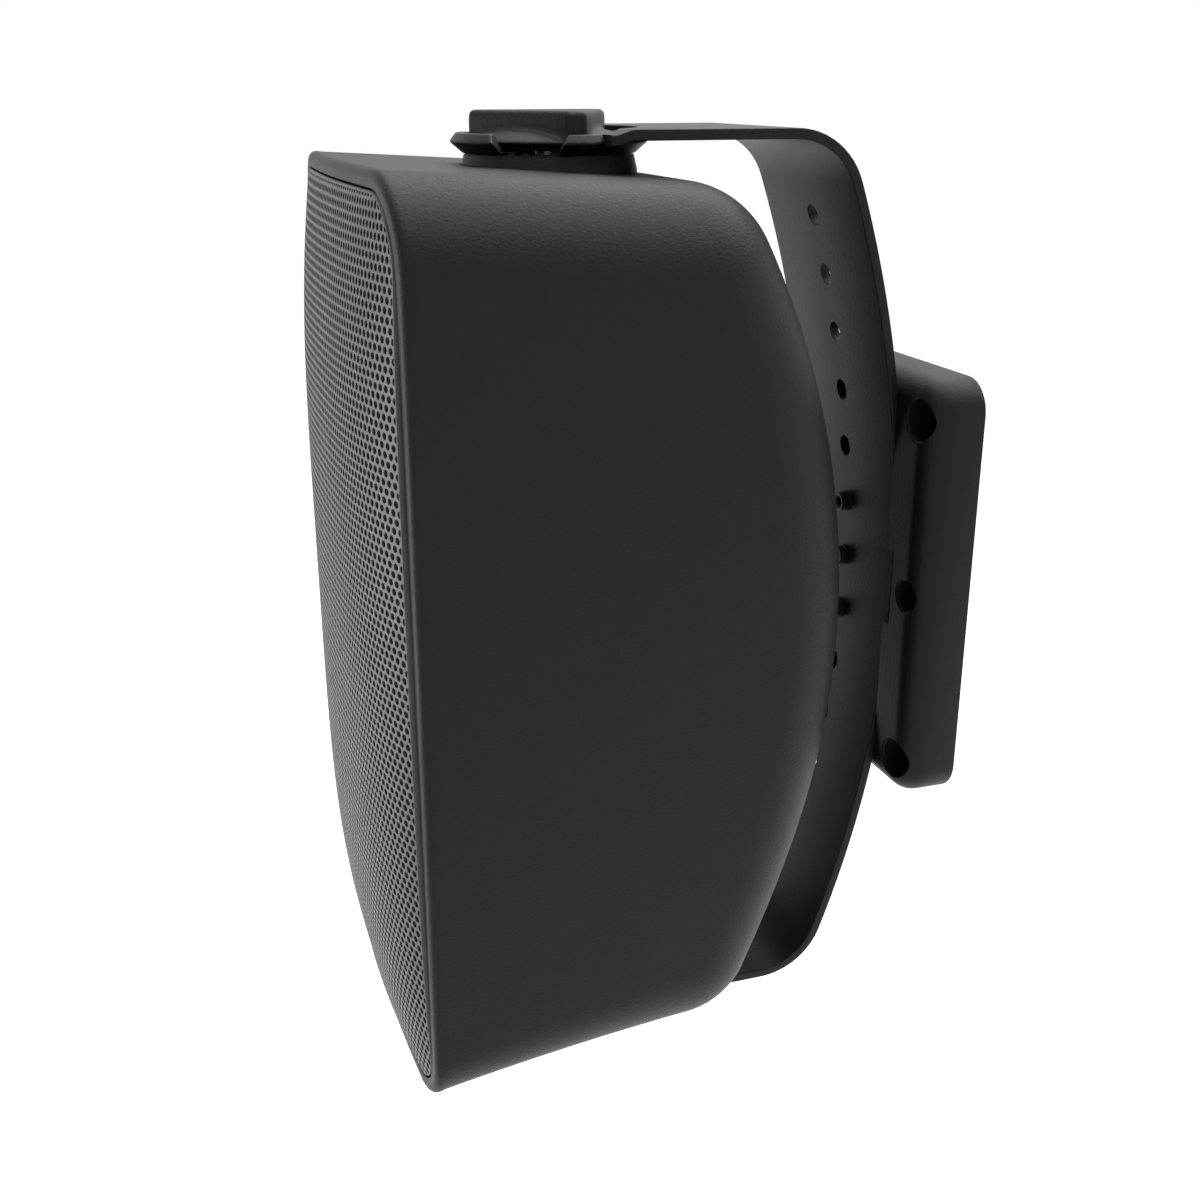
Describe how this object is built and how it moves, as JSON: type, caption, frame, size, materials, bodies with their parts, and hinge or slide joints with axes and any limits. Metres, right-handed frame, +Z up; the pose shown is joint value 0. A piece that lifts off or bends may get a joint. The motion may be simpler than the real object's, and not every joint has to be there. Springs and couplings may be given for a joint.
{
  "type": "loudspeaker",
  "caption": "Surface-mount two-way loudspeaker that swivels in a U-shaped bracket on a wall plate, with a domed perforated grille and a clamp knob at each end of the swivel axis.",
  "frame": {"origin": "centre of the wall plate's flat back face", "axes": "+Z up, +Y into the wall, the speaker faces -Y, +X to its left"},
  "size_m": [0.1554, 0.1881, 0.2852],
  "materials": {
    "moulded_black": "fine-grained moulded polystyrene",
    "baffle_plastic": "smooth moulded plastic",
    "grille_steel": "perforated sheet, powder-coated",
    "basket_steel": "stamped steel, painted",
    "rubber": "butyl rubber",
    "cone_paper": "coated paper pulp",
    "cap_paper": "coated paper",
    "spider_cloth": "resin-dipped cloth",
    "former_film": "polyimide film",
    "copper": "enamelled copper wire",
    "plated_steel": "zinc-plated steel",
    "ferrite": "sintered ferrite",
    "black_screws": "black oxide steel",
    "tweeter_plastic": "smooth moulded plastic",
    "silk": "coated silk",
    "polyester_wadding": "polyester wadding",
    "circuit_board": "glass-fibre board with solder mask",
    "blue_film": "film-wrapped capacitor",
    "yellow_film": "film-wrapped capacitor",
    "cement": "cement-filled ceramic body",
    "terminal_plastic": "moulded nylon",
    "zinc_steel": "zinc-plated steel",
    "brass": "turned brass",
    "powder_coat": "fine-textured powder coat on steel",
    "knob_plastic": "fine-grained moulded plastic",
    "peg_steel": "black oxide steel",
    "plate_plastic": "fine-grained moulded plastic"
  },
  "bodies": {
    "wall_bracket": {"u_bracket": "powder_coat", "top_clamp_ring": "powder_coat", "bottom_clamp_ring": "powder_coat", "tilt_pegs": "peg_steel", "peg_inserts": "brass", "wall_plate": "plate_plastic"},
    "enclosure": {"enclosure_shell": "moulded_black", "top_pivot_boss": "moulded_black", "bottom_pivot_boss": "moulded_black", "top_ratchet_teeth": "moulded_black", "bottom_ratchet_teeth": "moulded_black", "front_baffle": "baffle_plastic", "grille_frame": "baffle_plastic", "left_port_tube": "baffle_plastic", "right_port_tube": "baffle_plastic", "terminal_cup": "baffle_plastic", "board_standoffs": "baffle_plastic", "grille": "grille_steel", "woofer_basket": "basket_steel", "woofer_trim_ring": "rubber", "woofer_surround": "rubber", "woofer_spider": "spider_cloth", "air_core_inductor": "copper", "woofer_front_plate": "plated_steel", "woofer_pole_piece": "plated_steel", "tweeter_magnet": "plated_steel", "woofer_magnet": "ferrite", "drum_inductor": "ferrite", "woofer_screws": "black_screws", "tweeter_screws": "black_screws", "tweeter_faceplate": "tweeter_plastic", "tweeter_rear_cup": "tweeter_plastic", "tweeter_surround": "silk", "damping_pad": "polyester_wadding", "crossover_board": "circuit_board", "large_capacitor": "blue_film", "small_capacitor": "yellow_film", "cement_resistor": "cement", "terminal_block": "terminal_plastic", "terminal_screws": "zinc_steel", "top_threaded_insert": "brass", "bottom_threaded_insert": "brass"},
    "top_knob": {"top_knob": "knob_plastic", "top_knob_stud": "zinc_steel", "top_washer": "zinc_steel"},
    "bottom_knob": {"bottom_knob": "knob_plastic", "bottom_knob_stud": "zinc_steel", "bottom_washer": "zinc_steel"},
    "woofer_cone": {"woofer_cone": "cone_paper", "woofer_dust_cap": "cap_paper", "voice_coil_former": "former_film", "voice_coil": "copper"},
    "tweeter_dome": {"tweeter_dome": "silk"}
  },
  "joints": [
    {"name": "enclosure_swivel", "type": "hinge", "parent": "wall_bracket", "child": "enclosure", "pos_m": [0, -0.118, 0], "axis": [0, 0, 1], "range_deg": [-80, 80]},
    {"name": "top_knob_turn", "type": "hinge", "parent": "enclosure", "child": "top_knob", "pos_m": [0, -0.118, 0.136], "axis": [0, 0, 1], "range_deg": [0, 360]},
    {"name": "bottom_knob_turn", "type": "hinge", "parent": "enclosure", "child": "bottom_knob", "pos_m": [0, -0.118, -0.136], "axis": [0, 0, -1], "range_deg": [0, 360]},
    {"name": "woofer_cone_travel", "type": "slide", "parent": "enclosure", "child": "woofer_cone", "axis": [0, 1, 0], "range_m": [-0.004, 0.004], "stiffness_N_per_m": 1200, "deforming": ["woofer_surround", "woofer_spider"]},
    {"name": "tweeter_dome_travel", "type": "slide", "parent": "enclosure", "child": "tweeter_dome", "axis": [0, 1, 0], "range_m": [-0.0005, 0.0005], "stiffness_N_per_m": 1000, "deforming": ["tweeter_surround"]}
  ]
}
